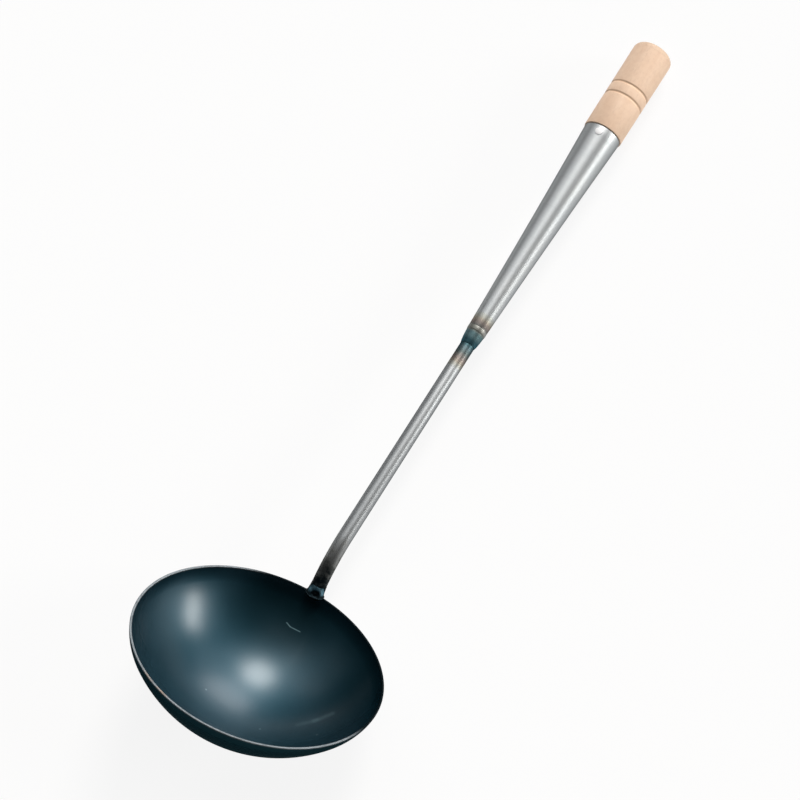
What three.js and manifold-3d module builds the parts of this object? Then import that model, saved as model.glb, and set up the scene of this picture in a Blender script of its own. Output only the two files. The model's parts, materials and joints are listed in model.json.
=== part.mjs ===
// Wok ladle: a pressed bowl, a bent bar welded to its rim, and a sheet socket that holds a wooden grip.
// Sizes are millimetres. The ladle lies on the back of its bowl and on the end of its grip, with +Z up
// and +X along the handle, and its origin is under the middle of its box.
import * as THREE from "three";
import { mergeVertices } from "three/addons/utils/BufferGeometryUtils.js";
import Module from "manifold-3d";

const wasm = await Module();
wasm.setup();

const degree = Math.PI / 180;

// Bowl
const rimRadius = 65;
const bowlDepth = 40.3;
const bowlWall = 1.2;
const rimLean = 9.4 * degree;
const knuckleRadius = 20;

// Bar between the rim and the socket
const barRadius = 4;
const footRise = 21.6;
const bendRadius = 40;
const handleAngle = 40.3 * degree;
const barVisible = 136;
const barTail = 18;

// Weld on the rim
const rimWeldHeight = 6;
const rimWeldFlare = 0.8;
const rimWeldDepth = 2.6;

// Weld at the neck
const neckWeldLength = 9.4;
const neckNoseLength = 5.8;
const weldEdge = 0.15;

// Socket
const socketLength = 133.4;
const socketWall = 0.8;
const socketSmallRadius = 5.32;
const socketLipRadius = 10.7;
const socketWaist = 0.3;

// Grip
const gripLength = 58.5;
const gripShoulderRadius = 11.2;
const gripEndRadius = 11.5;
const gripEndRound = 4;
const plugLength = 42;
const grooveOffset = 22.2;
const groovePitch = 7.1;
const grooveWidth = 1.4;
const grooveDepth = 0.5;
const grooveCount = 2;

// Nail
const nailFromLip = 3.6;
const nailTurn = 4 * degree;
const nailHeadRadius = 2.1;
const nailHeadHeight = 0.9;
const nailShankRadius = 0.9;
const nailLength = 9;

// Clearance between pieces that touch on the real object
const seat = 0.3;

// Fineness of the round shapes
const bowlSides = 66;
const handleSides = 40;
const barSides = 24;
const nailSides = 16;
const bendSteps = 12;
const bottomSteps = 12;
const knuckleSteps = 6;
const roundSteps = 8;
const headSteps = 6;
const socketSteps = 10;
const plugSteps = 4;
const grooveSteps = 4;

// Colours
const bluedSteel = { color: 0x16262c, roughness: 0.35, metalness: 0.9 };
const bareSteel = { color: 0x9aa0a2, roughness: 0.32, metalness: 1 };
const weldSteel = { color: 0x3c5560, roughness: 0.45, metalness: 0.9 };
const brightSteel = { color: 0xd8dcde, roughness: 0.2, metalness: 1 };
const paleWood = { color: 0xe0bd94, roughness: 0.6, metalness: 0 };

// Keeps only the places of a closed geometry's points, shared, and drops the triangles that shrink to a line
function weldPoints(geometry) {
  const bare = geometry.clone();
  bare.deleteAttribute("normal");
  bare.deleteAttribute("uv");
  const merged = mergeVertices(bare);
  const corners = Array.from(merged.index.array);
  const kept = [];
  for (let i = 0; i < corners.length; i += 3) {
    const [a, b, c] = corners.slice(i, i + 3);
    if (a !== b && b !== c && c !== a) {
      kept.push(a, b, c);
    }
  }
  merged.setIndex(kept);
  return merged;
}

// A closed geometry as a solid that can be joined and cut
function solidOf(geometry) {
  const merged = weldPoints(geometry);
  return new wasm.Manifold(new wasm.Mesh({
    numProp: 3,
    vertProperties: new Float32Array(merged.attributes.position.array),
    triVerts: new Uint32Array(merged.index.array),
  }));
}

// A solid as a geometry again
function geometryOf(solid) {
  const mesh = solid.getMesh();
  const geometry = new THREE.BufferGeometry();
  geometry.setAttribute("position", new THREE.BufferAttribute(mesh.vertProperties, 3));
  geometry.setIndex(new THREE.BufferAttribute(mesh.triVerts, 1));
  return geometry;
}

// A profile turned about +Y, with a flat side and not an edge towards the ground that the ladle lies on
function turned(profile, sides) {
  return new THREE.LatheGeometry(profile, sides, Math.PI / 2 + Math.PI / sides, 2 * Math.PI);
}

// Points of an arc about a centre, at angles counted from straight down
function arc(centre, radius, from, to, steps) {
  const points = [];
  for (let i = 0; i <= steps; i++) {
    const angle = from + (to - from) * i / steps;
    points.push(new THREE.Vector2(
      centre.x + radius * Math.sin(angle),
      centre.y - radius * Math.cos(angle),
    ));
  }
  return points;
}

// Bowl section: a flat spherical bottom that runs tangent into the rounded, leaning edge below the rim
const knuckleCentre = new THREE.Vector2(
  rimRadius - knuckleRadius * Math.cos(rimLean),
  knuckleRadius * Math.sin(rimLean),
);
const depthBelowKnuckle = bowlDepth - knuckleRadius;
const bottomCentre = new THREE.Vector2(
  0,
  (knuckleCentre.lengthSq() - depthBelowKnuckle ** 2) / (2 * (depthBelowKnuckle + knuckleCentre.y)),
);
const bottomRadius = bottomCentre.y + bowlDepth;
const bottomReach = Math.atan2(knuckleCentre.x, bottomCentre.y - knuckleCentre.y);

// One face of the bowl from its lowest point to a height near the rim, moved outwards by an offset
function bowlFace(offset, top) {
  const radius = knuckleRadius + offset;
  const reach = Math.acos((knuckleCentre.y - top) / radius);
  return [
    ...arc(bottomCentre, bottomRadius + offset, 0, bottomReach, bottomSteps),
    ...arc(knuckleCentre, radius, bottomReach, reach, knuckleSteps).slice(1),
  ];
}

// The bowl, or the room that it takes with a clearance all round
function makeBowl(clearance) {
  const outside = bowlFace(clearance, clearance);
  const inside = bowlFace(-bowlWall - clearance, clearance);
  return turned([...outside, ...inside.reverse()], bowlSides);
}

// Bar's centre line: up from the rim in line with the wall, round the bend, and straight up the handle
const direction = (lean) => new THREE.Vector2(Math.sin(lean), Math.cos(lean));
const handleLean = Math.PI / 2 - handleAngle;
const footDirection = direction(rimLean);
const handleDirection = direction(handleLean);
const footPlace = new THREE.Vector2(rimRadius - bowlWall / 2 / Math.cos(rimLean), 0);
const footLift = seat + bowlWall / 2 * Math.tan(rimLean);
const corner = footPlace.clone().addScaledVector(footDirection, footRise);
const bendTangent = bendRadius * Math.tan((handleLean - rimLean) / 2);

// Stations along the bar, each a place and a lean off upright
function barStations(lift, reach) {
  const bendStart = corner.clone().addScaledVector(footDirection, -bendTangent);
  const bendCentre = new THREE.Vector2(
    bendStart.x + bendRadius * Math.cos(rimLean),
    bendStart.y - bendRadius * Math.sin(rimLean),
  );
  const stations = [{ place: footPlace.clone().addScaledVector(footDirection, lift), lean: rimLean }];
  for (let i = 0; i <= bendSteps; i++) {
    const lean = THREE.MathUtils.lerp(rimLean, handleLean, i / bendSteps);
    const place = new THREE.Vector2(
      bendCentre.x - bendRadius * Math.cos(lean),
      bendCentre.y + bendRadius * Math.sin(lean),
    );
    stations.push({ place, lean });
  }
  stations.push({ place: corner.clone().addScaledVector(handleDirection, reach), lean: handleLean });
  return stations;
}

// A round bar through a row of stations, closed at both ends
function makeBar(radius, lift, reach) {
  const stations = barStations(lift, reach);
  const points = [];
  for (const { place, lean } of stations) {
    for (let i = 0; i < barSides; i++) {
      const angle = 2 * Math.PI * i / barSides;
      const side = radius * Math.cos(angle);
      points.push(place.x + side * Math.cos(lean), place.y - side * Math.sin(lean), radius * Math.sin(angle));
    }
  }
  const first = stations[0].place;
  const last = stations.at(-1).place;
  const firstMiddle = points.length / 3;
  const lastMiddle = firstMiddle + 1;
  points.push(first.x, first.y, 0, last.x, last.y, 0);
  const corners = [];
  const lastRing = (stations.length - 1) * barSides;
  for (let i = 0; i < barSides; i++) {
    const next = (i + 1) % barSides;
    for (let ring = 0; ring < lastRing; ring += barSides) {
      const [a, b, c, d] = [ring + i, ring + next, ring + barSides + next, ring + barSides + i];
      corners.push(a, d, b, b, d, c);
    }
    corners.push(firstMiddle, i, next);
    corners.push(lastMiddle, lastRing + next, lastRing + i);
  }
  const geometry = new THREE.BufferGeometry();
  geometry.setAttribute("position", new THREE.Float32BufferAttribute(points, 3));
  geometry.setIndex(corners);
  return geometry;
}

// Weld on the rim: a hollow fillet up the foot of the bar and a shallow lump over both faces of the wall
function makeRimWeld() {
  const topRadius = barRadius + seat + weldEdge;
  const footRadius = topRadius + rimWeldFlare;
  const profile = [];
  for (let i = 0; i <= roundSteps; i++) {
    const angle = Math.PI / 2 * i / roundSteps;
    profile.push(new THREE.Vector2(footRadius * Math.sin(angle), -rimWeldDepth * Math.cos(angle)));
  }
  for (let i = 1; i <= roundSteps; i++) {
    const angle = Math.PI / 2 * i / roundSteps;
    profile.push(new THREE.Vector2(
      topRadius + rimWeldFlare * (1 - Math.sin(angle)),
      rimWeldHeight * (1 - Math.cos(angle)),
    ));
  }
  profile.push(new THREE.Vector2(0, rimWeldHeight));
  const lump = turned(profile, handleSides);
  lump.rotateZ(-rimLean);
  lump.translate(footPlace.x, footPlace.y, 0);
  const bar = solidOf(makeBar(barRadius + seat, footLift - seat, bendTangent));
  return geometryOf(solidOf(lump).subtract(bar).subtract(solidOf(makeBowl(seat))));
}

// Places along the handle, counted from the corner of the bend
const neckStart = barVisible;
const socketStart = neckStart + neckWeldLength + seat;
const lip = socketStart + socketLength;
const gripStart = lip + seat;
const gripEnd = gripStart + gripLength;
const barReach = socketStart + barTail;

// Socket's outside radius, a nearly straight cone that is a little hollow halfway
function socketRadius(place) {
  const share = (place - socketStart) / socketLength;
  const straight = THREE.MathUtils.lerp(socketSmallRadius, socketLipRadius, share);
  return straight - socketWaist * 4 * share * (1 - share);
}

// Points along the cone, moved outwards by an offset
function socketFace(from, to, offset, steps) {
  const points = [];
  for (let i = 0; i <= steps; i++) {
    const place = from + (to - from) * i / steps;
    points.push(new THREE.Vector2(socketRadius(place) + offset, place));
  }
  return points;
}

// Weld at the neck: a nose that grows from the bar to the socket's thickness, then a short collar
function makeNeckWeld() {
  const bore = barRadius + seat;
  const end = neckStart + neckWeldLength;
  const taper = (socketLipRadius - socketSmallRadius) / socketLength;
  const noseRadius = socketSmallRadius - (neckWeldLength - neckNoseLength) * taper;
  const profile = [
    new THREE.Vector2(bore, neckStart),
    new THREE.Vector2(bore + weldEdge, neckStart),
    new THREE.Vector2(noseRadius, neckStart + neckNoseLength),
    new THREE.Vector2(socketSmallRadius, end),
    new THREE.Vector2(bore, end),
    new THREE.Vector2(bore, neckStart),
  ];
  return turned(profile, handleSides);
}

// A round hole or shank at right angles to the handle, at the nail's place
function acrossHandle(geometry) {
  geometry.rotateZ(Math.PI / 2);
  geometry.translate(0, lip - nailFromLip, 0);
  geometry.rotateY(-nailTurn);
  return geometry;
}

// Nail: its head stands on the top of the socket and its shank points at the handle's middle
const nailSeat = socketRadius(lip - nailFromLip) + seat;

function nailHole() {
  const radius = nailShankRadius + seat;
  const depth = nailLength + seat;
  const hole = new THREE.CylinderGeometry(radius, radius, depth + nailSeat, nailSides);
  hole.translate(0, nailSeat - depth + (depth + nailSeat) / 2, 0);
  return solidOf(acrossHandle(hole));
}

function makeNail() {
  const profile = [
    new THREE.Vector2(0, nailSeat - nailLength),
    new THREE.Vector2(nailShankRadius, nailSeat - nailLength + nailShankRadius),
    new THREE.Vector2(nailShankRadius, nailSeat),
  ];
  for (let i = 0; i < headSteps; i++) {
    const angle = Math.PI / 2 * i / headSteps;
    profile.push(new THREE.Vector2(
      nailHeadRadius * Math.cos(angle),
      nailSeat + nailHeadHeight * Math.sin(angle),
    ));
  }
  profile.push(new THREE.Vector2(0, nailSeat + nailHeadHeight));
  return acrossHandle(turned(profile, nailSides));
}

function makeSocket() {
  const outside = socketFace(socketStart, lip, 0, socketSteps);
  const inside = socketFace(socketStart, lip, -socketWall, socketSteps).reverse();
  const ring = turned([...outside, ...inside, outside[0].clone()], handleSides);
  return geometryOf(solidOf(ring).subtract(nailHole()));
}

// Grip: a plug inside the socket, a shoulder on its lip, turned grooves and a rounded end with a flat
function gripRadius(place) {
  return THREE.MathUtils.mapLinear(place, gripStart, gripEnd, gripShoulderRadius, gripEndRadius);
}

const gripRoundStart = gripEnd - gripEndRound;
const gripRoundCentre = new THREE.Vector2(gripRadius(gripRoundStart) - gripEndRound, gripRoundStart);

function makeGrip() {
  const plugEnd = gripStart - plugLength;
  const profile = [new THREE.Vector2(0, plugEnd)];
  profile.push(...socketFace(plugEnd, lip, -socketWall - seat, plugSteps));
  profile.push(new THREE.Vector2(profile.at(-1).x, gripStart));
  profile.push(new THREE.Vector2(gripShoulderRadius, gripStart));
  for (let i = 0; i < grooveCount; i++) {
    const middle = lip + grooveOffset + groovePitch * i;
    for (let j = 0; j <= grooveSteps; j++) {
      const shift = 2 * j / grooveSteps - 1;
      const place = middle + shift * grooveWidth / 2;
      profile.push(new THREE.Vector2(gripRadius(place) - grooveDepth * (1 - shift ** 2), place));
    }
  }
  profile.push(...arc(gripRoundCentre, gripEndRound, Math.PI / 2, Math.PI, roundSteps));
  profile.push(new THREE.Vector2(0, gripEnd));
  const whole = turned(profile, handleSides);
  return geometryOf(solidOf(whole).subtract(nailHole()));
}

// A node with its name and its plain material
function named(name, geometry, look) {
  const mesh = new THREE.Mesh(weldPoints(geometry), new THREE.MeshStandardMaterial(look));
  mesh.name = name;
  return mesh;
}

// Everything along the handle, counted from the corner of the bend
const handle = new THREE.Group();
handle.position.set(corner.x, corner.y, 0);
handle.rotation.z = handleAngle - Math.PI / 2;
handle.add(
  named("neck_weld", makeNeckWeld(), weldSteel),
  named("socket", makeSocket(), bareSteel),
  named("wood_grip", makeGrip(), paleWood),
  named("grip_nail", makeNail(), brightSteel),
);

// The ladle with its bowl's rim level, +Y up and +X towards the handle
const upright = new THREE.Group();
upright.add(
  named("bowl", makeBowl(0), bluedSteel),
  named("handle_rod", makeBar(barRadius, footLift, barReach), bareSteel),
  named("rim_weld", makeRimWeld(), weldSteel),
  handle,
);
upright.rotation.x = Math.PI / 2;

// Lying down: the ground is the common tangent of the bowl's bottom and the grip's rounded end
const handleUnderside = new THREE.Vector2(handleDirection.y, -handleDirection.x);
const restPoint = corner.clone()
  .addScaledVector(handleDirection, gripRoundCentre.y)
  .addScaledVector(handleUnderside, gripRoundCentre.x);
const restSpan = restPoint.clone().sub(bottomCentre);
const layAngle = Math.asin((bottomRadius - gripEndRound) / restSpan.length())
  - Math.atan2(-restSpan.y, restSpan.x);

const lying = new THREE.Group();
lying.add(upright);
lying.rotation.y = layAngle;

const ladle = new THREE.Group();
ladle.add(lying);
ladle.updateMatrixWorld(true);
const box = new THREE.Box3().setFromObject(ladle, true);
const middle = box.getCenter(new THREE.Vector3());
lying.position.set(-middle.x, -middle.y, -box.min.z);

export default ladle;
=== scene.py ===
# Looks of the wok ladle: a blued bowl, a bent bar welded to its rim, a sheet socket and a wooden grip.
# Lengths are metres. The ladle lies on its bowl and its grip, with +Z up and +X along the handle.
import json
import math

import bmesh
import bpy
from mathutils import Matrix, Vector


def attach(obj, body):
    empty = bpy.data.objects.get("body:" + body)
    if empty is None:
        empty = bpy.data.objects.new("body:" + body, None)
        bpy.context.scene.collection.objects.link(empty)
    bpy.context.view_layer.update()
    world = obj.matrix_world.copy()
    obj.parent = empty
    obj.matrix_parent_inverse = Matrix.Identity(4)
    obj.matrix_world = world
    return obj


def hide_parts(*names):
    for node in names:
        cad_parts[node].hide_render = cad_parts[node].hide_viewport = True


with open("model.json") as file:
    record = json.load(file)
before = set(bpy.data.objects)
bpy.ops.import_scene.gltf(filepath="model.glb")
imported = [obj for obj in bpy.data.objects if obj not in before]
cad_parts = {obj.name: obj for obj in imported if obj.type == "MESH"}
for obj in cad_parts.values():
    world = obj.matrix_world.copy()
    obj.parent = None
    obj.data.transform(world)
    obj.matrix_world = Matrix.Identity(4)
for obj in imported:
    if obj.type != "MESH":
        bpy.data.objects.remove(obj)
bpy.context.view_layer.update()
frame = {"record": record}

MM = 0.001

# How many sides the round pieces have, and steps the bowl's arcs
BOWL_SIDES = 192
BOWL_ARC_STEPS = 40
KNUCKLE_ARC_STEPS = 24
HANDLE_SIDES = 128
WELD_SIDES = 96
BAR_SIDES = 64
NAIL_SIDES = 48

# Sizes of the ladle, as it was made
RIM_RADIUS = 65 * MM
BOWL_DEPTH = 40.3 * MM
BOWL_WALL = 1.2 * MM
RIM_LEAN = math.radians(9.4)
KNUCKLE_RADIUS = 20 * MM
BAR_RADIUS = 4 * MM
RIM_WELD_RADIUS = 5.2 * MM
RIM_WELD_DEPTH = 2.6 * MM
RIM_WELD_HEIGHT = 6 * MM
FOOT_RISE = 21.6 * MM
BEND_RADIUS = 40 * MM
HANDLE_ANGLE = math.radians(40.3)
NECK_START = 136 * MM
NECK_LENGTH = 9.4 * MM
BAR_TAIL = 18 * MM
SOCKET_LENGTH = 133.4 * MM
SOCKET_WALL = 0.8 * MM
SOCKET_SMALL_RADIUS = 5.32 * MM
SOCKET_LIP_RADIUS = 10.7 * MM
SOCKET_WAIST = 0.3 * MM
GRIP_LENGTH = 58.5 * MM
GRIP_SHOULDER_RADIUS = 11.2 * MM
GRIP_END_RADIUS = 11.5 * MM
GRIP_END_ROUND = 4 * MM
PLUG_LENGTH = 42 * MM
GROOVES = 2
GROOVE_OFFSET = 22.2 * MM
GROOVE_PITCH = 7.1 * MM
GROOVE_WIDTH = 2.3 * MM
GROOVE_DEPTH = 0.35 * MM
NAIL_FROM_LIP = 3.6 * MM
NAIL_TURN = math.radians(4)
NAIL_HEAD_RADIUS = 2.1 * MM
NAIL_HEAD_HEIGHT = 0.28 * MM
NAIL_HEAD_EDGE = 0.1 * MM
NAIL_SHANK_RADIUS = 0.9 * MM
NAIL_LENGTH = 9 * MM
SEAT = 0.3 * MM

# Places along the handle, counted from the corner of the bend
SOCKET_START = NECK_START + NECK_LENGTH + SEAT
LIP = SOCKET_START + SOCKET_LENGTH
GRIP_START = LIP + SEAT
GRIP_END = GRIP_START + GRIP_LENGTH

# The lying handle and bowl, taken from the flat end of the grip
grip_mount = next(m for m in frame["record"]["mounts"] if m["name"] == "grip_end")
handle_direction = Vector(grip_mount["axis"]).normalized()
bend_corner = Vector(grip_mount["pos_m"]) - GRIP_END * handle_direction
lay_angle = HANDLE_ANGLE + math.atan2(-handle_direction.z, handle_direction.x)
foot_place = Vector((RIM_RADIUS - BOWL_WALL / 2 / math.cos(RIM_LEAN), 0, 0))
foot_direction = Vector((math.sin(RIM_LEAN), 0, math.cos(RIM_LEAN)))
lay_turn = Matrix.Rotation(lay_angle, 4, "Y")
rim_centre = bend_corner - lay_turn.to_3x3() @ (foot_place + FOOT_RISE * foot_direction)
handle_lean = math.pi / 2 + math.atan2(-handle_direction.z, handle_direction.x)

# From a piece modelled upright to where it lies: the bowl's rim is level, or the handle stands on its corner
bowl_place = Matrix.Translation(rim_centre) @ lay_turn
handle_place = Matrix.Translation(bend_corner) @ Matrix.Rotation(handle_lean, 4, "Y")
foot_stand = bowl_place @ Matrix.Translation(foot_place) @ Matrix.Rotation(RIM_LEAN, 4, "Y")


# Tools for modelling

def clear_selection():
    if bpy.context.mode != "OBJECT":
        bpy.ops.object.mode_set(mode="OBJECT")
    bpy.ops.object.select_all(action="DESELECT")


def single_point(name, place):
    """A new mesh of one point, selected, in edit mode."""
    clear_selection()
    bpy.ops.mesh.primitive_plane_add(size=MM, location=place)
    piece = bpy.context.object
    piece.name = name
    piece.data.name = name
    bpy.ops.object.transform_apply(location=True, rotation=False, scale=False)
    bpy.ops.object.mode_set(mode="EDIT")
    bpy.ops.mesh.select_all(action="SELECT")
    bpy.ops.mesh.merge(type="CENTER")
    return piece


def draw_line(to):
    """Extrudes the selected point to a place in the XZ plane, given as (radius, height)."""
    mesh = bmesh.from_edit_mesh(bpy.context.object.data)
    here = next(v.co for v in mesh.verts if v.select)
    step = (to[0] - here.x, 0, to[1] - here.z)
    bpy.ops.mesh.extrude_region_move(TRANSFORM_OT_translate={"value": step})


def draw_arc(centre, angle, steps):
    """Spins the selected point about a centre in the XZ plane. From the lowest point, plus goes to +X."""
    bpy.ops.mesh.spin(steps=steps, angle=angle, center=(centre[0], 0, centre[1]), axis=(0, 1, 0))


def turn_profile(sides):
    """Turns the drawn profile about the Z axis and closes its seam and its poles."""
    bpy.ops.mesh.select_all(action="SELECT")
    bpy.ops.mesh.spin(steps=sides, angle=2 * math.pi, center=(0, 0, 0), axis=(0, 0, 1))
    bpy.ops.mesh.select_all(action="SELECT")
    bpy.ops.mesh.remove_doubles(threshold=0.002 * MM)
    bpy.ops.mesh.normals_make_consistent(inside=False)
    bpy.ops.object.mode_set(mode="OBJECT")


def round_edges(piece, width, sharp=30):
    """Rounds the edges that are sharper than an angle in degrees."""
    bevel = piece.modifiers.new("edges", "BEVEL")
    bevel.width = width
    bevel.segments = 3
    bevel.limit_method = "ANGLE"
    bevel.angle_limit = math.radians(sharp)
    bevel.use_clamp_overlap = True
    bpy.ops.object.modifier_apply(modifier=bevel.name)


def finish_piece(piece, place, material, node):
    """Lays a piece where it belongs, gives it its finish and hides the part of model.glb that it stands for.
    """
    clear_selection()
    piece.select_set(True)
    bpy.context.view_layer.objects.active = piece
    piece.matrix_world = place
    bpy.ops.object.transform_apply(location=True, rotation=True, scale=True)
    bpy.ops.object.shade_smooth_by_angle(angle=math.radians(40))
    piece.data.materials.clear()
    piece.data.materials.append(material)
    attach(piece, "root")
    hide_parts(node)


# Tools for materials

def add(tree, kind, **values):
    """Adds a node. Each value is a setting, or an input's number or the socket to link to it.

    An underscore in an input's name stands for a space, and i0, i1 and so on are the inputs by number.
    """
    node = tree.nodes.new(kind)
    for name, value in values.items():
        if hasattr(node, name):
            setattr(node, name, value)
            continue
        plug = node.inputs[int(name[1:])] if name[1:].isdigit() else node.inputs[name.replace("_", " ")]
        if isinstance(value, bpy.types.NodeSocket):
            tree.links.new(value, plug)
        else:
            plug.default_value = value
    return node


def math_node(tree, operation, *terms):
    inputs = {f"i{i}": term for i, term in enumerate(terms)}
    return add(tree, "ShaderNodeMath", operation=operation, **inputs).outputs[0]


def times(tree, first, second):
    return math_node(tree, "MULTIPLY", first, second)


def rest_of(tree, share):
    return math_node(tree, "SUBTRACT", 1.0, share)


def vector_math(tree, operation, *terms):
    """The outputs of a vector operation: Vector and Value."""
    inputs = {f"i{i}": term for i, term in enumerate(terms)}
    return add(tree, "ShaderNodeVectorMath", operation=operation, **inputs).outputs


def new_material(name):
    material = bpy.data.materials.new(name)
    material.use_nodes = True
    material.node_tree.nodes.clear()
    return material, material.node_tree


def put_out(tree, shader):
    add(tree, "ShaderNodeOutputMaterial", Surface=shader.outputs[0])


def local_position(tree, place):
    """The place on a piece as it was modelled upright, in metres."""
    spot = add(tree, "ShaderNodeTexCoord").outputs["Object"]
    turn = add(tree, "ShaderNodeMapping", vector_type="TEXTURE", Vector=spot)
    turn.inputs["Location"].default_value = place.to_translation()
    turn.inputs["Rotation"].default_value = place.to_euler()
    return turn.outputs[0]


def height_of(tree, position):
    return add(tree, "ShaderNodeSeparateXYZ", Vector=position).outputs["Z"]


def mix_colour(tree, share, first, second):
    """Goes from the first colour to the second. Each is a socket or three numbers."""
    mix = add(tree, "ShaderNodeMix", data_type="RGBA")
    for plug, value in ((mix.inputs[0], share), (mix.inputs[6], first), (mix.inputs[7], second)):
        if isinstance(value, bpy.types.NodeSocket):
            tree.links.new(value, plug)
        else:
            plug.default_value = value if isinstance(value, float) else (*value, 1)
    return mix.outputs[2]


def remap(tree, value, low, high, new_low=0.0, new_high=1.0):
    """Goes softly from one number to another while a value goes from low to high."""
    return add(
        tree, "ShaderNodeMapRange", interpolation_type="SMOOTHSTEP", Value=value,
        From_Min=low, From_Max=high, To_Min=new_low, To_Max=new_high,
    ).outputs["Result"]


def bump(tree, height, distance):
    return add(tree, "ShaderNodeBump", Height=height, Distance=distance, Strength=1).outputs[0]


# Effects that several finishes share

def new_group(name, inputs, outputs):
    """A shader node group with named inputs and outputs, and its input node's sockets."""
    group = bpy.data.node_groups.new(name, "ShaderNodeTree")
    for title, kind in inputs.items():
        group.interface.new_socket(title, in_out="INPUT", socket_type="NodeSocket" + kind)
    for title, kind in outputs.items():
        group.interface.new_socket(title, in_out="OUTPUT", socket_type="NodeSocket" + kind)
    return group, add(group, "NodeGroupInput").outputs


def use(tree, group, **values):
    node = tree.nodes.new("ShaderNodeGroup")
    node.node_tree = group
    for name, value in values.items():
        plug = node.inputs[name]
        if isinstance(value, bpy.types.NodeSocket):
            tree.links.new(value, plug)
        else:
            plug.default_value = value
    return node.outputs


def make_streaks():
    """Fine lines: Across is their number per metre over the axis, Along the number along it."""
    group, given = new_group(
        "streaks", {"Position": "Vector", "Across": "Float", "Along": "Float"}, {"Streaks": "Float"})
    stretch = add(group, "ShaderNodeCombineXYZ", X=given["Across"], Y=given["Across"], Z=given["Along"])
    drawn = vector_math(group, "MULTIPLY", given["Position"], stretch.outputs[0])
    noise = add(group, "ShaderNodeTexNoise", Vector=drawn["Vector"], Scale=1, Detail=3, Roughness=0.55)
    add(group, "NodeGroupOutput", Streaks=noise.outputs["Fac"])
    return group


def make_stains():
    """Soft blotches: Fineness is their number per metre, and a higher Level leaves fewer of them."""
    group, given = new_group(
        "stains", {"Position": "Vector", "Fineness": "Float", "Level": "Float", "Softness": "Float"},
        {"Mask": "Float"})
    noise = add(
        group, "ShaderNodeTexNoise", Vector=given["Position"], Scale=given["Fineness"], Detail=4,
        Roughness=0.55)
    low = math_node(group, "SUBTRACT", given["Level"], given["Softness"])
    high = math_node(group, "ADD", given["Level"], given["Softness"])
    add(group, "NodeGroupOutput", Mask=remap(group, noise.outputs["Fac"], low, high))
    return group


def make_spot():
    """A round patch about a place, with a soft edge."""
    group, given = new_group(
        "spot", {"Position": "Vector", "Centre": "Vector", "Radius": "Float", "Softness": "Float"},
        {"Mask": "Float", "Distance": "Float"})
    away = vector_math(group, "DISTANCE", given["Position"], given["Centre"])["Value"]
    low = math_node(group, "SUBTRACT", given["Radius"], given["Softness"])
    high = math_node(group, "ADD", given["Radius"], given["Softness"])
    mask = remap(group, away, low, high, 1.0, 0.0)
    add(group, "NodeGroupOutput", Mask=mask, Distance=away)
    return group


def make_straight_mark():
    """A short straight mark: Across is the direction over it, and it fades out towards its ends."""
    group, given = new_group(
        "straight_mark", {"Position": "Vector", "Centre": "Vector", "Across": "Vector", "Width": "Float",
                    "Length": "Float"}, {"Mask": "Float"})
    away = vector_math(group, "SUBTRACT", given["Position"], given["Centre"])["Vector"]
    side = vector_math(group, "DOT_PRODUCT", away, given["Across"])["Value"]
    reach = vector_math(group, "LENGTH", away)["Value"]
    line = remap(group, math_node(group, "ABSOLUTE", side), 0.0, given["Width"], 1.0, 0.0)
    ends = remap(
        group, reach, times(group, given["Length"], 0.35), times(group, given["Length"], 0.5), 1.0, 0.0)
    add(group, "NodeGroupOutput", Mask=times(group, line, ends))
    return group


def make_heat_tint():
    """Tints bare metal as a weld's heat does, from the weld outwards: blue, grey, violet, brown, straw."""
    group, given = new_group(
        "heat_tint", {"Position": "Vector", "Distance": "Float", "Reach": "Float", "Waver": "Float",
                      "Metal": "Color"}, {"Colour": "Color"})
    noise = add(group, "ShaderNodeTexNoise", Vector=given["Position"], Scale=260, Detail=3, Roughness=0.55)
    shift = times(group, math_node(group, "SUBTRACT", noise.outputs["Fac"], 0.5), given["Waver"])
    share = math_node(group, "ADD", math_node(group, "DIVIDE", given["Distance"], given["Reach"]), shift)
    ramp = add(group, "ShaderNodeValToRGB", Fac=share)
    stops = ((0.0, (0.09, 0.21, 0.25)), (0.14, (0.17, 0.31, 0.34)), (0.23, (0.29, 0.4, 0.43)),
             (0.4, (0.29, 0.35, 0.34)), (0.5, (0.46, 0.44, 0.41)), (0.64, (0.63, 0.52, 0.47)),
             (0.74, (0.75, 0.65, 0.54)), (0.83, (0.85, 0.81, 0.72)), (0.92, (0.93, 0.92, 0.85)),
             (1.0, (1, 1, 1)))
    while len(ramp.color_ramp.elements) < len(stops):
        ramp.color_ramp.elements.new(0.5)
    for element, (place, colour) in zip(ramp.color_ramp.elements, stops):
        element.position = place
        element.color = (*colour, 1)
    tint = add(group, "ShaderNodeMix", data_type="RGBA", blend_type="MULTIPLY")
    tint.inputs[0].default_value = 1
    group.links.new(given["Metal"], tint.inputs[6])
    group.links.new(ramp.outputs["Color"], tint.inputs[7])
    add(group, "NodeGroupOutput", Colour=tint.outputs[2])
    return group


STREAKS = make_streaks()
STAINS = make_stains()
SPOT = make_spot()
STRAIGHT_MARK = make_straight_mark()
HEAT_TINT = make_heat_tint()


# Finishes

CRATER_TURN = -165
CRATER = Matrix.Rotation(math.radians(CRATER_TURN), 3, "Z") @ Vector((5 * MM, 0, 1.4 * MM))

# Blued skin of the bowl
SKIN = (0.0115, 0.05, 0.073)
SKIN_MOTTLE = (0.0165, 0.058, 0.083)
SKIN_GRAIN = (0.006, 0.028, 0.04)
# Darker by the weld: partly heat colour, partly painted shade
SKIN_HEATED_AND_SHADED = (0.0015, 0.012, 0.016)
# Painted shade on the bowl's side towards the handle
SKIN_SHADED_SIDE = (0.003, 0.016, 0.02)
# Painted dark reflection just below the rim
SKIN_BELOW_RIM = (0.005, 0.024, 0.034)
SKIN_OUTSIDE = (0.017, 0.044, 0.053)
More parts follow.
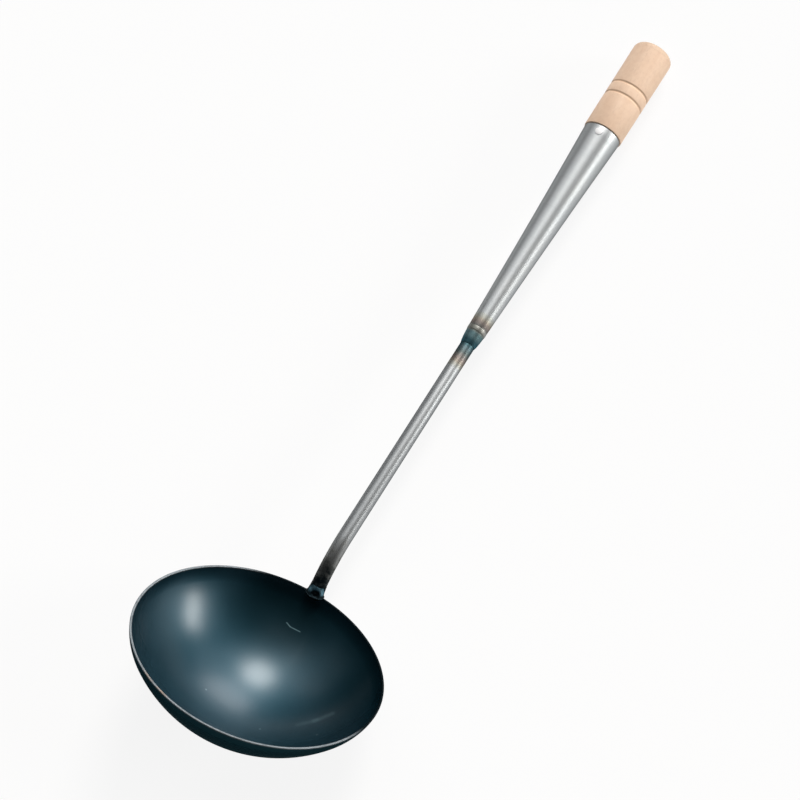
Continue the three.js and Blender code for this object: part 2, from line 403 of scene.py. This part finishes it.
# Pale marks in the bowl; on the faint line this colour is a painted reflection
SKIN_MARK_AND_REFLECTION = (0.3, 0.5, 0.55)
SKIN_SPECK = (0.2, 0.3, 0.34)
RIM_EDGE = (0.006, 0.01, 0.012)
RIM_BARE = (0.2, 0.225, 0.24)
RIM_STRAW = (0.25, 0.2, 0.165)

# Bare steels
SHEET_STEEL = (0.47, 0.487, 0.492)
SHEET_PATCH = (0.44, 0.463, 0.474)
SHEET_STREAK = (0.38, 0.397, 0.404)
BAR_STEEL = (0.335, 0.35, 0.358)
BAR_PATCH = (0.31, 0.325, 0.333)
BAR_STREAK = (0.25, 0.26, 0.268)
BAR_WARMED = (0.23, 0.215, 0.175)
STEEL_EDGE_TINT = (0.03, 0.03, 0.03, 1)
# Nail head: near-white all over, a painted glint
NAIL_GLINT_WHITE = (0.95, 0.955, 0.96)
NAIL_GLINT_RUBBED = (0.88, 0.89, 0.9)

# Welds
SCALE = (0.012, 0.018, 0.021)
SCALE_ASH = (0.07, 0.078, 0.08)
SCALE_BLUE = (0.016, 0.03, 0.038)
RIM_WELD_CREST = (0.16, 0.3, 0.37)
NECK_DARK = (0.028, 0.08, 0.1)
NECK_BLUE = (0.05, 0.115, 0.135)
NECK_NOSE = (0.045, 0.115, 0.14)
NECK_MIDDLE = (0.1, 0.18, 0.2)
NECK_MIDDLE_CLOUD = (0.12, 0.19, 0.2)
NECK_GREY = (0.22, 0.225, 0.2)
NECK_BEAD = (0.4, 0.395, 0.38)

# Wood
WOOD = (0.915, 0.665, 0.485)
WOOD_GRAIN = (0.875, 0.62, 0.44)
WOOD_MOTTLE = (0.93, 0.695, 0.515)
WOOD_FIGURE = (0.8, 0.55, 0.39)
WOOD_FLECK = (0.62, 0.41, 0.26)
# Darker end: partly end grain, partly painted shade
WOOD_END_GRAIN_AND_SHADE = (0.5, 0.365, 0.255)
WOOD_BURNT = (0.6, 0.38, 0.23)


def make_blued_steel():
    """Steel with the dark blue skin of its first heating, oiled inside and worn bare on part of its rim."""
    material, tree = new_material("blued_bowl")
    position = local_position(tree, bowl_place)
    outside = add(tree, "ShaderNodeAttribute", attribute_name="outside").outputs["Fac"]
    mottle = use(tree, STAINS, Position=position, Fineness=38.0, Level=0.5, Softness=0.2)["Mask"]
    fine = use(tree, STAINS, Position=position, Fineness=900.0, Level=0.5, Softness=0.3)["Mask"]
    skin = mix_colour(tree, mottle, SKIN, SKIN_MOTTLE)
    skin = mix_colour(tree, times(tree, fine, 0.15), skin, SKIN_GRAIN)
    # Darker by the weld: partly its heat, partly painted shade on the wall under the handle
    heated_and_shaded = use(tree, SPOT, Position=position, Centre=Vector((56, 12, -13)) * MM, Radius=24 * MM,
                 Softness=14 * MM)["Mask"]
    skin = mix_colour(tree, times(tree, heated_and_shaded, 0.7), skin, SKIN_HEATED_AND_SHADED)
    # Painted shade: the side of the bowl towards the handle is darker
    near_handle = vector_math(tree, "DOT_PRODUCT", position, (0.8, -0.6, 0))["Value"]
    shaded_side = remap(tree, near_handle, 28 * MM, 56 * MM)
    skin = mix_colour(tree, times(tree, shaded_side, 0.4), skin, SKIN_SHADED_SIDE)

    # A little darker just below the rim, the same all round: a painted dark reflection
    height = height_of(tree, position)
    below_rim = remap(tree, height, -13 * MM, -7 * MM, 0.0, 0.22)
    skin = mix_colour(tree, below_rim, skin, SKIN_BELOW_RIM)

    # A short pale mark and a faint pale line, each of two strokes, and three specks; the faint line is a
    # painted reflection
    for centre, across, width, length, share in (
            (Vector((52.78, 3.88, -16.86)), Vector((0.67, -0.323, 0.669)), 0.45, 3.8, 0.45),
            (Vector((52.62, -0.41, -17.1)), Vector((0.716, 0.068, 0.695)), 0.45, 6.8, 0.4),
            # The faint line: a painted reflection
            (Vector((9.95, -33.96, -30)), Vector((0.829, 0.537, -0.158)), 2.6, 14, 0.07),
            (Vector((14.76, -39.43, -25.83)), Vector((0.777, 0.598, -0.195)), 2.6, 14, 0.12)):
        mark = use(tree, STRAIGHT_MARK, Position=position, Centre=centre * MM, Across=across, Width=width * MM,
                   Length=length * MM)["Mask"]
        skin = mix_colour(tree, times(tree, mark, share), skin, SKIN_MARK_AND_REFLECTION)
    for centre in (Vector((0.1, 17.8, -36.9)), Vector((-4.2, -16.3, -37.2)), Vector((0.5, -42.8, -25.5))):
        speck = use(tree, SPOT, Position=position, Centre=centre * MM, Radius=0.5 * MM,
                    Softness=0.3 * MM)["Mask"]
        skin = mix_colour(tree, times(tree, speck, 0.5), skin, SKIN_SPECK)
    skin = mix_colour(tree, outside, skin, SKIN_OUTSIDE)

    # Bare metal on the rim: widest on the side where the ladle scrapes the pan, and straw-coloured in places
    away = vector_math(tree, "DOT_PRODUCT", position, (-0.8, 0.6, 0))["Value"]
    side = remap(tree, away, -0.52 * RIM_RADIUS, -0.24 * RIM_RADIUS)
    rim = remap(tree, height, -0.9 * MM, -0.05 * MM)
    skin = mix_colour(tree, rim, skin, RIM_EDGE)
    chipped = use(tree, STAINS, Position=position, Fineness=260.0, Level=0.4, Softness=0.2)["Mask"]
    worn = times(tree, times(tree, rim, side), remap(tree, chipped, 0, 1, 0.65, 1))
    straw = use(tree, STAINS, Position=position, Fineness=90.0, Level=0.47, Softness=0.08)["Mask"]
    burnt = use(tree, SPOT, Position=position, Centre=(-0.91 * RIM_RADIUS, 0.41 * RIM_RADIUS, 0.0),
                Radius=8 * MM, Softness=4 * MM)["Mask"]
    bare = mix_colour(tree, times(tree, straw, burnt), RIM_BARE, RIM_STRAW)
    colour = mix_colour(tree, worn, skin, bare)

    # Oil, thinner by the weld, on the side towards the handle where shade is painted, and under the rim
    oiled = times(tree, rest_of(tree, outside), remap(tree, rim, 0, 1, 1, 0))
    oiled = times(tree, oiled, remap(tree, math_node(tree, "MAXIMUM", shaded_side, heated_and_shaded), 0, 1, 1, 0.3))
    dull = times(tree, remap(tree, height, -12 * MM, -6 * MM), 0.3)
    oiled = times(tree, oiled, rest_of(tree, dull))
    rough = math_node(tree, "ADD", remap(tree, mottle, 0, 1, 0.52, 0.56), times(tree, outside, 0.08))
    grain = use(tree, STAINS, Position=position, Fineness=1800.0, Level=0.5, Softness=0.4)["Mask"]
    put_out(tree, add(
        tree, "ShaderNodeBsdfPrincipled", Base_Color=colour, Metallic=0.96, Roughness=rough,
        Specular_IOR_Level=0.1, Specular_Tint=(0.1, 0.15, 0.17, 1),
        Coat_Weight=times(tree, oiled, 0.9), Coat_Roughness=0.3, Coat_IOR=1.48,
        Normal=bump(tree, grain, 0.003 * MM),
    ))
    return material


def make_bar_steel():
    """Drawn bar, ground by hand, black with scale above its foot and tinted below the neck's weld."""
    material, tree = new_material("bar_finish")
    position = local_position(tree, bowl_place)
    along_handle = local_position(tree, handle_place)
    drawn = use(tree, STREAKS, Position=along_handle, Across=420.0, Along=14.0)["Streaks"]
    patches = use(tree, STAINS, Position=along_handle, Fineness=110.0, Level=0.5, Softness=0.2)["Mask"]
    colour = mix_colour(tree, patches, BAR_STEEL, BAR_PATCH)
    colour = mix_colour(tree, remap(tree, drawn, 0.5, 0.75, 0.0, 0.3), colour, BAR_STREAK)
    below_neck = math_node(tree, "SUBTRACT", NECK_START + 1.5 * MM, height_of(tree, along_handle))
    colour = use(tree, HEAT_TINT, Position=along_handle, Distance=below_neck, Reach=17.5 * MM, Waver=0.16,
                 Metal=colour)["Colour"]
    from_foot = use(tree, SPOT, Position=position, Centre=foot_place, Radius=0.02, Softness=0.01)["Distance"]
    blotch = add(tree, "ShaderNodeTexNoise", Vector=position, Scale=240, Detail=3, Roughness=0.6)
    shift = times(tree, math_node(tree, "SUBTRACT", blotch.outputs["Fac"], 0.5), 26 * MM)
    reach = math_node(tree, "ADD", from_foot, shift)
    warm = remap(tree, reach, 17 * MM, 38 * MM, 1.0, 0.0)
    colour = mix_colour(tree, times(tree, warm, 0.45), colour, BAR_WARMED)
    scale = remap(tree, reach, 9 * MM, 27 * MM, 1.0, 0.0)
    ash = mix_colour(tree, remap(tree, blotch.outputs["Fac"], 0.5, 0.66), SCALE, SCALE_ASH)
    colour = mix_colour(tree, scale, colour, ash)
    rough = remap(tree, drawn, 0.3, 0.7, 0.47, 0.52)
    put_out(tree, add(
        tree, "ShaderNodeBsdfPrincipled", Base_Color=colour, Metallic=remap(tree, scale, 0.3, 1.0, 1.0, 0.6),
        Roughness=rough, Specular_IOR_Level=0.2, Specular_Tint=STEEL_EDGE_TINT,
        Normal=bump(tree, drawn, 0.003 * MM),
    ))
    return material


def make_socket_steel():
    """Rolled sheet, polished round its axis, tinted by the weld at its small end."""
    material, tree = new_material("socket_finish")
    position = local_position(tree, handle_place)
    polish = use(tree, STREAKS, Position=position, Across=25.0, Along=1500.0)["Streaks"]
    patches = use(tree, STAINS, Position=position, Fineness=70.0, Level=0.5, Softness=0.25)["Mask"]
    colour = mix_colour(tree, patches, SHEET_STEEL, SHEET_PATCH)
    colour = mix_colour(tree, remap(tree, polish, 0.5, 0.75, 0.0, 0.25), colour, SHEET_STREAK)
    from_neck = math_node(tree, "SUBTRACT", height_of(tree, position), SOCKET_START - 7.4 * MM)
    colour = use(tree, HEAT_TINT, Position=position, Distance=from_neck, Reach=16.7 * MM, Waver=0.12,
                 Metal=colour)["Colour"]
    put_out(tree, add(
        tree, "ShaderNodeBsdfPrincipled", Base_Color=colour, Metallic=1,
        Roughness=remap(tree, polish, 0.3, 0.7, 0.46, 0.5), Specular_Tint=STEEL_EDGE_TINT,
        Normal=bump(tree, polish, 0.0015 * MM),
    ))
    return material


def make_neck_weld_steel():
    """Weld metal, blued by its own heat, with a pale broken bead where it meets the socket."""
    material, tree = new_material("neck_weld_finish")
    position = local_position(tree, handle_place)
    height = height_of(tree, position)
    blotches = use(tree, STAINS, Position=position, Fineness=330.0, Level=0.5, Softness=0.2)["Mask"]
    cloud = use(tree, STAINS, Position=position, Fineness=130.0, Level=0.5, Softness=0.25)["Mask"]
    colour = mix_colour(tree, blotches, NECK_DARK, NECK_BLUE)
    nose = remap(tree, height, NECK_START + 0.8 * MM, NECK_START + 2.2 * MM, 1.0, 0.0)
    colour = mix_colour(tree, nose, colour, NECK_NOSE)
    middle = remap(tree, height, NECK_START + 1.5 * MM, NECK_START + 5 * MM)
    colour = mix_colour(tree, middle, colour, mix_colour(tree, cloud, NECK_MIDDLE, NECK_MIDDLE_CLOUD))
    grey = remap(tree, height, NECK_START + 6 * MM, NECK_START + 8.6 * MM)
    colour = mix_colour(tree, grey, colour, NECK_GREY)
    bead = remap(tree, height, NECK_START + 7.7 * MM, NECK_START + 9.1 * MM)
    bead = times(tree, bead, remap(tree, cloud, 0.2, 0.9, 0.1, 1))
    colour = mix_colour(tree, bead, colour, NECK_BEAD)
    put_out(tree, add(
        tree, "ShaderNodeBsdfPrincipled", Base_Color=colour, Metallic=0.9,
        Roughness=remap(tree, blotches, 0.0, 1.0, 0.46, 0.52), Specular_Tint=(0.3, 0.35, 0.4, 1),
        Normal=bump(tree, blotches, 0.02 * MM),
    ))
    return material


def make_rim_weld_steel():
    """Weld metal under scale, with a light blue crest round a dark crater."""
    material, tree = new_material("rim_weld_finish")
    position = local_position(tree, foot_stand)
    blotches = use(tree, STAINS, Position=position, Fineness=420.0, Level=0.5, Softness=0.25)["Mask"]
    colour = mix_colour(tree, blotches, SCALE, SCALE_BLUE)
    crest = use(tree, SPOT, Position=position, Centre=CRATER, Radius=5.6 * MM, Softness=0.6 * MM)["Mask"]
    pit = use(tree, SPOT, Position=position, Centre=CRATER, Radius=2.9 * MM, Softness=0.5 * MM)["Mask"]
    crest = times(tree, crest, rest_of(tree, pit))
    above = remap(tree, height_of(tree, position), 0.6 * MM, 2.4 * MM)
    patchy = times(tree, above, remap(tree, blotches, 0, 1, 0.65, 1))
    colour = mix_colour(tree, times(tree, crest, patchy), colour, RIM_WELD_CREST)
    put_out(tree, add(
        tree, "ShaderNodeBsdfPrincipled", Base_Color=colour, Metallic=0.85, Roughness=0.52,
        Specular_IOR_Level=0.1, Specular_Tint=(0.1, 0.13, 0.15, 1), Normal=bump(tree, blotches, 0.05 * MM),
    ))
    return material


def make_pale_wood():
    """Pale close-grained wood, bare, with two lightly burnt grooves."""
    material, tree = new_material("grip_wood")
    position = local_position(tree, handle_place)
    grain = use(tree, STREAKS, Position=position, Across=260.0, Along=30.0)["Streaks"]
    pores = use(tree, STREAKS, Position=position, Across=2600.0, Along=320.0)["Streaks"]
    mottle = use(tree, STAINS, Position=position, Fineness=150.0, Level=0.5, Softness=0.3)["Mask"]
    colour = mix_colour(tree, remap(tree, grain, 0.3, 0.7), WOOD, WOOD_GRAIN)
    colour = mix_colour(tree, times(tree, mottle, 0.6), colour, WOOD_MOTTLE)
    figure = use(tree, STAINS, Position=position, Fineness=420.0, Level=0.52, Softness=0.16)["Mask"]
    colour = mix_colour(tree, times(tree, figure, 0.35), colour, WOOD_FIGURE)
    flecks = times(tree, remap(tree, pores, 0.55, 0.72), 0.26)
    colour = mix_colour(tree, flecks, colour, WOOD_FLECK)
    height = height_of(tree, position)
    # Darker round the end: partly end grain, partly painted shade that dims the round end where it faces the
    # lamps
    end_grain_and_shade = remap(
        tree, height, GRIP_END - 1.2 * GRIP_END_ROUND, GRIP_END - 0.3 * GRIP_END_ROUND, 0.0, 0.9)
    colour = mix_colour(tree, end_grain_and_shade, colour, WOOD_END_GRAIN_AND_SHADE)
    for i in range(GROOVES):
        middle = LIP + GROOVE_OFFSET + GROOVE_PITCH * i
        away = math_node(tree, "ABSOLUTE", math_node(tree, "SUBTRACT", height, middle))
        burnt = remap(tree, away, 0.1 * GROOVE_WIDTH, 0.55 * GROOVE_WIDTH, 0.5, 0.0)
        colour = mix_colour(tree, burnt, colour, WOOD_BURNT)
    put_out(tree, add(
        tree, "ShaderNodeBsdfPrincipled", Base_Color=colour, Metallic=0,
        Roughness=remap(tree, grain, 0.3, 0.7, 0.55, 0.65), Normal=bump(tree, pores, 0.015 * MM),
    ))
    return material


def make_nail_steel():
    """Nail head painted near-white and nearly matt all over, a painted glint of the lamps, a little worn."""
    material, tree = new_material("nail_painted_glint")
    position = local_position(tree, handle_place)
    rub = use(tree, STAINS, Position=position, Fineness=900.0, Level=0.5, Softness=0.25)["Mask"]
    colour = mix_colour(tree, rub, NAIL_GLINT_WHITE, NAIL_GLINT_RUBBED)
    put_out(tree, add(
        tree, "ShaderNodeBsdfPrincipled", Base_Color=colour, Metallic=0.05,
        Roughness=remap(tree, rub, 0.0, 1.0, 0.4, 0.48), Normal=bump(tree, rub, 0.01 * MM),
    ))
    return material


# Bowl

def make_bowl(material):
    knuckle = Vector((RIM_RADIUS - KNUCKLE_RADIUS * math.cos(RIM_LEAN), KNUCKLE_RADIUS * math.sin(RIM_LEAN)))
    below = BOWL_DEPTH - KNUCKLE_RADIUS
    bottom = Vector((0, (knuckle.length_squared - below ** 2) / (2 * (below + knuckle.y))))
    reach = math.atan2(knuckle.x, bottom.y - knuckle.y)
    outer_knuckle = math.acos(knuckle.y / KNUCKLE_RADIUS) - reach
    inner_radius = KNUCKLE_RADIUS - BOWL_WALL
    inner_knuckle = math.acos(knuckle.y / inner_radius) - reach
    piece = single_point("bowl_shell", (0, 0, -BOWL_DEPTH))
    draw_arc(bottom, reach, BOWL_ARC_STEPS)
    draw_arc(knuckle, outer_knuckle, KNUCKLE_ARC_STEPS)
    draw_line((knuckle.x + inner_radius * math.sin(math.acos(knuckle.y / inner_radius)), 0))
    draw_arc(knuckle, -inner_knuckle, KNUCKLE_ARC_STEPS)
    draw_arc(bottom, -reach, BOWL_ARC_STEPS)
    turn_profile(BOWL_SIDES)
    round_edges(piece, 0.3 * MM)
    mark_outside(piece, bottom, knuckle, reach)
    finish_piece(piece, bowl_place, material, "bowl")


def mark_outside(piece, bottom, knuckle, reach):
    """Stores on each point of the upright bowl whether it is on the outer face, for the bowl's finish."""
    outside = piece.data.attributes.new("outside", "FLOAT", "POINT")
    for point in piece.data.vertices:
        section = Vector((math.hypot(point.co.x, point.co.y), point.co.z))
        on_bottom = math.atan2(section.x, bottom.y - section.y) < reach
        centre, radius = (bottom, bottom.y + BOWL_DEPTH) if on_bottom else (knuckle, KNUCKLE_RADIUS)
        outside.data[point.index].value = float((section - centre).length > radius - BOWL_WALL / 2)


# Bar

def make_bar(material):
    bend_angle = math.pi / 2 - HANDLE_ANGLE - RIM_LEAN
    tangent = BEND_RADIUS * math.tan(bend_angle / 2)
    corner = foot_place + FOOT_RISE * foot_direction
    across = Vector((math.cos(RIM_LEAN), 0, -math.sin(RIM_LEAN)))
    bend_centre = corner - tangent * foot_direction + BEND_RADIUS * across
    up_handle = Vector((math.cos(HANDLE_ANGLE), 0, math.sin(HANDLE_ANGLE)))
    foot_lift = SEAT + BOWL_WALL / 2 * math.tan(RIM_LEAN)
    start = foot_place + foot_lift * foot_direction
    clear_selection()
    bpy.ops.mesh.primitive_circle_add(
        vertices=BAR_SIDES, radius=BAR_RADIUS, fill_type="NGON", location=start, rotation=(0, RIM_LEAN, 0))
    piece = bpy.context.object
    piece.name = "bent_bar"
    bpy.ops.object.transform_apply(location=True, rotation=True, scale=True)
    bpy.ops.object.mode_set(mode="EDIT")
    bpy.ops.mesh.select_all(action="SELECT")
    straight = (FOOT_RISE - tangent - foot_lift) * foot_direction
    bpy.ops.mesh.extrude_region_move(TRANSFORM_OT_translate={"value": straight})
    bpy.ops.mesh.spin(steps=24, angle=-bend_angle, center=bend_centre, axis=(0, 1, 0))
    run = (SOCKET_START + BAR_TAIL - tangent) * up_handle
    bpy.ops.mesh.extrude_region_move(TRANSFORM_OT_translate={"value": run})
    bpy.ops.mesh.select_all(action="SELECT")
    bpy.ops.mesh.normals_make_consistent(inside=False)
    bpy.ops.object.mode_set(mode="OBJECT")
    round_edges(piece, 0.4 * MM, sharp=60)
    finish_piece(piece, bowl_place, material, "handle_rod")


# Socket, grip and nail, which stand on the bend's corner while they are modelled

def socket_radius(place):
    share = (place - SOCKET_START) / SOCKET_LENGTH
    straight = SOCKET_SMALL_RADIUS + (SOCKET_LIP_RADIUS - SOCKET_SMALL_RADIUS) * share
    return straight - SOCKET_WAIST * 4 * share * (1 - share)


def draw_socket_face(first, last, offset, steps):
    for i in range(steps + 1):
        place = first + (last - first) * i / steps
        draw_line((socket_radius(place) + offset, place))


def make_socket(material):
    piece = single_point("conical_socket", (socket_radius(SOCKET_START) - SOCKET_WALL, 0, SOCKET_START))
    draw_socket_face(SOCKET_START, LIP, 0, 24)
    draw_socket_face(LIP, SOCKET_START, -SOCKET_WALL, 24)
    turn_profile(HANDLE_SIDES)
    round_edges(piece, 0.18 * MM, sharp=60)
    finish_piece(piece, handle_place, material, "socket")


def make_neck_weld(material):
    """The weld's nose grows from the bar to the socket's thickness and ends in a low bead over the joint."""
    bore = BAR_RADIUS + 0.02 * MM
    foot = BAR_RADIUS + 0.15 * MM
    end = NECK_START + NECK_LENGTH
    nose_reach = 3 * MM
    taper = (SOCKET_LIP_RADIUS - SOCKET_SMALL_RADIUS) / SOCKET_LENGTH
    bead_start = end - 1.5 * MM
    bead_length = 2.7 * MM
    bead_height = 0.1 * MM
    steps = 24
    piece = single_point("neck_weld_bead", (bore, 0, NECK_START))
    for i in range(steps + 1):
        along = (bead_start - NECK_START) * (i / steps) ** 1.5
        settled = 1 - math.exp(-along / nose_reach)
        cone = SOCKET_SMALL_RADIUS - taper * (NECK_LENGTH - along)
        draw_line((foot + (cone - foot) * settled, NECK_START + along))
    for i in range(1, 11):
        place = bead_start + bead_length * i / 10
        cone = SOCKET_SMALL_RADIUS + taper * (place - end)
        draw_line((cone + bead_height * math.sin(math.pi * i / 10), place))
    draw_line((SOCKET_SMALL_RADIUS + 0.01 * MM, end))
    draw_line((bore, end))
    draw_line((bore, NECK_START))
    turn_profile(WELD_SIDES)
    finish_piece(piece, handle_place, material, "neck_weld")


def push_lump(piece, place, shift, reach):
    """Pulls the surface near a place by a shift, softly out to a reach."""
    bpy.ops.object.mode_set(mode="EDIT")
    bpy.ops.mesh.select_all(action="DESELECT")
    mesh = bmesh.from_edit_mesh(piece.data)
    nearest = min(mesh.verts, key=lambda point: (point.co - place).length)
    nearest.select_set(True)
    mesh.select_flush_mode()
    bpy.ops.transform.translate(
        value=shift, use_proportional_edit=True, proportional_edit_falloff="SMOOTH", proportional_size=reach)
    bpy.ops.object.mode_set(mode="OBJECT")


def round_foot(height, turn, radius):
    """A place by the rim weld: its height over the rim, and its turn in degrees round the bar's foot."""
    angle = math.radians(turn)
    return Vector((radius * math.cos(angle), radius * math.sin(angle), height))


def make_rim_weld(material):
    """A fillet up the bar's foot and a shallow lump over both faces of the wall, with a crater."""
    top_radius = BAR_RADIUS + 0.12 * MM
    flare = RIM_WELD_RADIUS - top_radius
    piece = single_point("rim_weld_bead", (0, 0, -RIM_WELD_DEPTH))
    for i in range(1, 15):
        angle = math.pi / 2 * i / 14
        draw_line((RIM_WELD_RADIUS * math.sin(angle), -RIM_WELD_DEPTH * math.cos(angle)))
    for i in range(1, 19):
        angle = math.pi / 2 * i / 18
        draw_line((top_radius + flare * (1 - math.sin(angle)), RIM_WELD_HEIGHT * (1 - math.cos(angle))))
    draw_line((0, RIM_WELD_HEIGHT))
    turn_profile(WELD_SIDES)
    for height, turn, radius, push in ((2.6, 152, 5, 0.35), (4.6, 170, 4.6, 0.4), (5, -165, 4.5, 0.3),
                                       (4.2, -138, 4.5, 0.4), (2.4, -118, 4.9, 0.3)):
        outwards = round_foot(0, turn, push * MM)
        push_lump(piece, round_foot(height * MM, turn, radius * MM), outwards, 1.7 * MM)
    push_lump(piece, CRATER, round_foot(0, CRATER_TURN, -1.1 * MM), 2.6 * MM)
    ripples = bpy.data.textures.new("weld_ripples", "CLOUDS")
    ripples.noise_scale = 1.6 * MM
    roughen = piece.modifiers.new("ripples", "DISPLACE")
    roughen.texture = ripples
    roughen.strength = 0.22 * MM
    roughen.mid_level = 0.5
    bpy.ops.object.modifier_apply(modifier=roughen.name)
    finish_piece(piece, foot_stand, material, "rim_weld")


def grip_radius(place):
    share = (place - GRIP_START) / GRIP_LENGTH
    return GRIP_SHOULDER_RADIUS + (GRIP_END_RADIUS - GRIP_SHOULDER_RADIUS) * share


def make_grip(material):
    plug_end = GRIP_START - PLUG_LENGTH
    piece = single_point("turned_grip", (0, 0, plug_end))
    draw_socket_face(plug_end, GRIP_START, -SOCKET_WALL - SEAT, 4)
    draw_line((GRIP_SHOULDER_RADIUS, GRIP_START))
    for i in range(GROOVES):
        middle = LIP + GROOVE_OFFSET + GROOVE_PITCH * i
        for j in range(17):
            shift = j / 8 - 1
            place = middle + shift * GROOVE_WIDTH / 2
            draw_line((grip_radius(place) - GROOVE_DEPTH * math.cos(shift * math.pi / 2) ** 2, place))
    round_start = GRIP_END - GRIP_END_ROUND
    draw_line((grip_radius(round_start), round_start))
    draw_arc((grip_radius(round_start) - GRIP_END_ROUND, round_start), math.pi / 2, 16)
    draw_line((0, GRIP_END))
    turn_profile(HANDLE_SIDES)
    round_edges(piece, 0.35 * MM, sharp=60)
    finish_piece(piece, handle_place, material, "wood_grip")


def make_nail(material):
    seat = socket_radius(LIP - NAIL_FROM_LIP) + 0.02 * MM
    piece = single_point("round_nail", (0, 0, seat - NAIL_LENGTH))
    draw_line((NAIL_SHANK_RADIUS, seat - NAIL_LENGTH + NAIL_SHANK_RADIUS))
    draw_line((NAIL_SHANK_RADIUS, seat))
    draw_line((NAIL_HEAD_RADIUS, seat))
    for i in range(13):
        share = 1 - i / 12
        dome = (NAIL_HEAD_HEIGHT - NAIL_HEAD_EDGE) * (1 - share ** 2)
        draw_line((NAIL_HEAD_RADIUS * share, seat + NAIL_HEAD_EDGE + dome))
    turn_profile(NAIL_SIDES)
    round_edges(piece, 0.04 * MM, sharp=60)
    turn = Matrix.Rotation(-NAIL_TURN, 4, "Z") @ Matrix.Rotation(-math.pi / 2, 4, "Y")
    place = handle_place @ Matrix.Translation((0, 0, LIP - NAIL_FROM_LIP)) @ turn
    finish_piece(piece, place, material, "grip_nail")


# Camera, light and floor

def make_camera():
    place = Vector((-0.35972, -0.21909, 1.19647))
    forward = Vector((0.27283, 0.18704, -0.9437)).normalized()
    picture_up = Vector((0.81131, 0.48244, 0.33018))
    right = forward.cross(picture_up).normalized()
    up = right.cross(forward)
    camera = bpy.data.objects.new("camera", bpy.data.cameras.new("camera"))
    camera.data.sensor_width = 36
    camera.data.lens = 108.22
    camera.matrix_world = Matrix((
        (right.x, up.x, -forward.x, place.x),
        (right.y, up.y, -forward.y, place.y),
        (right.z, up.z, -forward.z, place.z),
        (0, 0, 0, 1),
    ))
    bpy.context.scene.collection.objects.link(camera)
    bpy.context.scene.camera = camera


def make_lamp(name, azimuth, elevation, spread, strength, colour):
    """A far soft lamp, at angles in degrees seen from the ladle."""
    lamp = bpy.data.objects.new(name, bpy.data.lights.new(name, "SUN"))
    lamp.data.energy = strength
    lamp.data.angle = math.radians(spread)
    lamp.data.color = colour
    towards = Vector((
        math.cos(math.radians(elevation)) * math.cos(math.radians(azimuth)),
        math.cos(math.radians(elevation)) * math.sin(math.radians(azimuth)),
        math.sin(math.radians(elevation)),
    ))
    lamp.location = towards
    lamp.rotation_euler = towards.to_track_quat("Z", "Y").to_euler()
    bpy.context.scene.collection.objects.link(lamp)


def make_world(level):
    world = bpy.data.worlds.new("studio")
    world.use_nodes = True
    background = world.node_tree.nodes["Background"]
    background.inputs["Color"].default_value = (level, level, level, 1)
    background.inputs["Strength"].default_value = 1
    bpy.context.scene.world = world


def make_floor(paper, whiteness):
    """A large sheet of white paper. To the eye, metal and glass it is nearer to white."""
    material, tree = new_material("floor_paper")
    seen = add(tree, "ShaderNodeLightPath")
    directly = math_node(tree, "MAXIMUM", seen.outputs["Is Camera Ray"], seen.outputs["Is Glossy Ray"])
    seen_at_all = math_node(tree, "MAXIMUM", directly, seen.outputs["Is Transmission Ray"])
    share = times(tree, seen_at_all, whiteness)
    matt = add(tree, "ShaderNodeBsdfDiffuse", Color=(paper, paper, paper, 1))
    white = add(tree, "ShaderNodeEmission", Color=(1, 1, 1, 1), Strength=1)
    mix = add(tree, "ShaderNodeMixShader", Fac=share, i1=matt.outputs[0], i2=white.outputs[0])
    put_out(tree, mix)
    clear_selection()
    bpy.ops.mesh.primitive_circle_add(vertices=96, radius=8, fill_type="NGON", location=(0, 0, 0))
    floor = bpy.context.object
    floor.name = "floor"
    floor.data.materials.append(material)


make_camera()
make_world(0.02)
make_lamp("main_softbox", 9, 41.3, 21, 2.15, (1, 0.955, 0.915))
make_lamp("front_panel", 1, 9, 28, 0.97, (1, 0.96, 0.965))
make_lamp("wide_panel", -6, 25, 48, 0.4, (1, 0.99, 1))
make_lamp("top_panel", 15, 66, 34, 0.4, (0.96, 0.985, 1))
make_lamp("back_panel", 60, 42, 40, 0.42, (0.98, 0.99, 1))
make_lamp("side_softbox_left", -62, 16, 12, 0.8, (1, 0.985, 0.96))
make_lamp("side_softbox_right", -51, 16, 12, 0.8, (1, 0.985, 0.96))
make_floor(0.92, 0.88)
bpy.context.scene.view_settings.view_transform = "Standard"

make_bowl(make_blued_steel())
make_bar(make_bar_steel())
make_socket(make_socket_steel())
make_rim_weld(make_rim_weld_steel())
make_neck_weld(make_neck_weld_steel())
make_grip(make_pale_wood())
make_nail(make_nail_steel())
